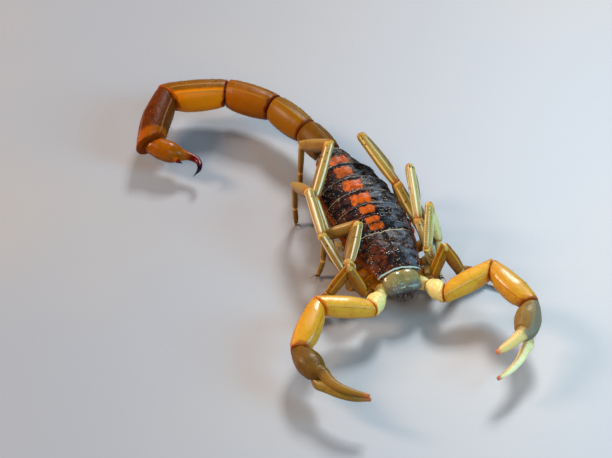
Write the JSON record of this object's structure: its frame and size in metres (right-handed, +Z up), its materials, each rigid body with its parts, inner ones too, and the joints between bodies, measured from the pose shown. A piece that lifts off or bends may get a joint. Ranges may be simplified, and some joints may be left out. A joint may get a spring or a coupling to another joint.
{
  "type": "bark scorpion",
  "caption": "Life-size still model of a bark scorpion at rest, tail curled to one side and pincers held forward.",
  "frame": {"origin": "middle of the whole animal's footprint, on the surface that it stands on", "axes": "-Y towards the head, +X towards the animal's left side, +Z up"},
  "size_m": [0.029, 0.052, 0.0075],
  "materials": {
    "dark_plate": "glossy near-black back plates with granules, pale rear edges and orange blotches",
    "leg_root": "satin olive-brown underside",
    "eye": "wet black bead",
    "jaw": "glossy olive yellow with dark fingers",
    "comb": "satin bone",
    "tail_plate": "satin golden orange brown with darker keels",
    "tail_dark": "satin purplish dark brown",
    "sting": "glossy orange brown bulb with a dark point",
    "arm": "glossy golden orange with darker keels",
    "pincer": "satin grey brown hand with tan fingers",
    "leg": "satin straw yellow, two-toned, with small dark spots at the joints"
  },
  "bodies": {
    "root": {"arm_left_femur": "arm", "arm_left_finger": "pincer", "arm_left_hand": "pincer", "arm_left_patella": "arm", "arm_left_trochanter": "arm", "arm_right_femur": "arm", "arm_right_finger": "pincer", "arm_right_hand": "pincer", "arm_right_patella": "arm", "arm_right_trochanter": "arm", "back_1": "dark_plate", "back_2": "dark_plate", "back_3": "dark_plate", "back_4": "dark_plate", "back_5": "dark_plate", "back_6": "dark_plate", "back_7": "dark_plate", "carapace": "dark_plate", "comb_left": "comb", "comb_right": "comb", "eye_left": "eye", "eye_right": "eye", "hips": "leg_root", "jaw_left": "jaw", "jaw_right": "jaw", "leg_left_1_lower": "leg", "leg_left_1_middle": "leg", "leg_left_1_upper": "leg", "leg_left_2_lower": "leg", "leg_left_2_middle": "leg", "leg_left_2_upper": "leg", "leg_left_3_lower": "leg", "leg_left_3_middle": "leg", "leg_left_3_upper": "leg", "leg_left_4_lower": "leg", "leg_left_4_middle": "leg", "leg_left_4_upper": "leg", "leg_right_1_lower": "leg", "leg_right_1_middle": "leg", "leg_right_1_upper": "leg", "leg_right_2_lower": "leg", "leg_right_2_middle": "leg", "leg_right_2_upper": "leg", "leg_right_3_lower": "leg", "leg_right_3_middle": "leg", "leg_right_3_upper": "leg", "leg_right_4_lower": "leg", "leg_right_4_middle": "leg", "leg_right_4_upper": "leg", "sting": "sting", "tail_1": "tail_plate", "tail_2": "tail_plate", "tail_3": "tail_plate", "tail_4": "tail_plate", "tail_5": "tail_dark"}
  },
  "joints": []
}
